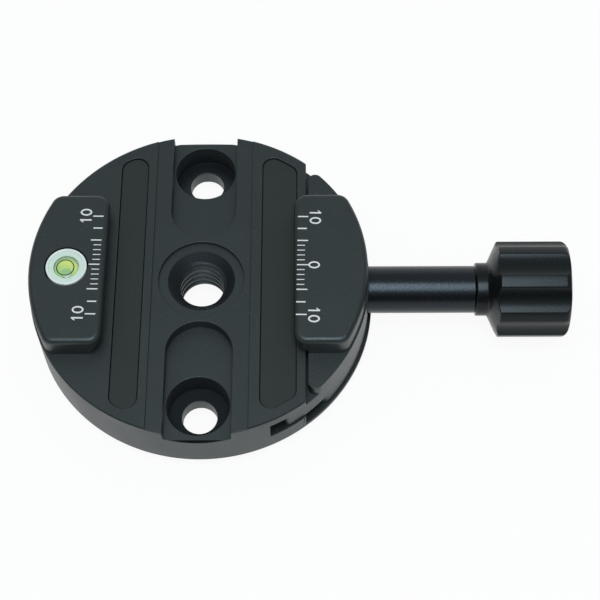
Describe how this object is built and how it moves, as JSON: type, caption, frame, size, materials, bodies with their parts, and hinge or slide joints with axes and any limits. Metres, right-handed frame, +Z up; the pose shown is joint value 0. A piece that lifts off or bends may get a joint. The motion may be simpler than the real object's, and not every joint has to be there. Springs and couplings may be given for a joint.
{
  "type": "panning clamp",
  "caption": "Round quick-release clamp for a tripod head: dovetail mouth for a camera plate, sliding jaw drawn in by a screw knob, and a round level.",
  "frame": {"origin": "on the axis of the round body, at its flat base", "axes": "+Z up through the round body towards the camera plate, +X along the clamp screw towards the knob, +Y along the dovetail mouth away from the viewer"},
  "size_m": [0.0975, 0.062, 0.0178],
  "materials": {
    "black_anodised": "fine bead-blasted black anodising",
    "black_rubber": "matt moulded rubber",
    "mint_acrylic": "smooth translucent moulding",
    "level_liquid": "clear yellow-green liquid",
    "clear_acrylic": "polished clear",
    "blackened_steel": "glossy black plating",
    "steel": "ground bright",
    "brass": "turned"
  },
  "bodies": {
    "base": {"clamp_body": "black_anodised", "rubber_strip_left": "black_rubber", "rubber_strip_right": "black_rubber", "level_cup": "mint_acrylic", "level_fluid": "level_liquid", "level_lens": "clear_acrylic", "guide_pin_front": "steel", "guide_pin_back": "steel", "return_spring_front": "steel", "return_spring_back": "steel"},
    "jaw": {"moving_jaw": "black_anodised", "thrust_washer": "brass"},
    "screw": {"spindle": "blackened_steel", "knob": "black_anodised", "knob_grub_screw": "steel"}
  },
  "joints": [
    {"name": "jaw_slide", "type": "slide", "parent": "base", "child": "jaw", "axis": [1, 0, 0], "range_m": [-0.0003, 0.0036], "deforming": ["return_spring_front", "return_spring_back"]},
    {"name": "knob_turn", "type": "hinge", "parent": "jaw", "child": "screw", "pos_m": [0.06, 0, 0.00605], "axis": [1, 0, 0], "range_deg": [-136, 1621]}
  ],
  "couplings": [
    {"joint": "knob_turn", "follows": "jaw_slide", "rad_per_m": 7854}
  ]
}
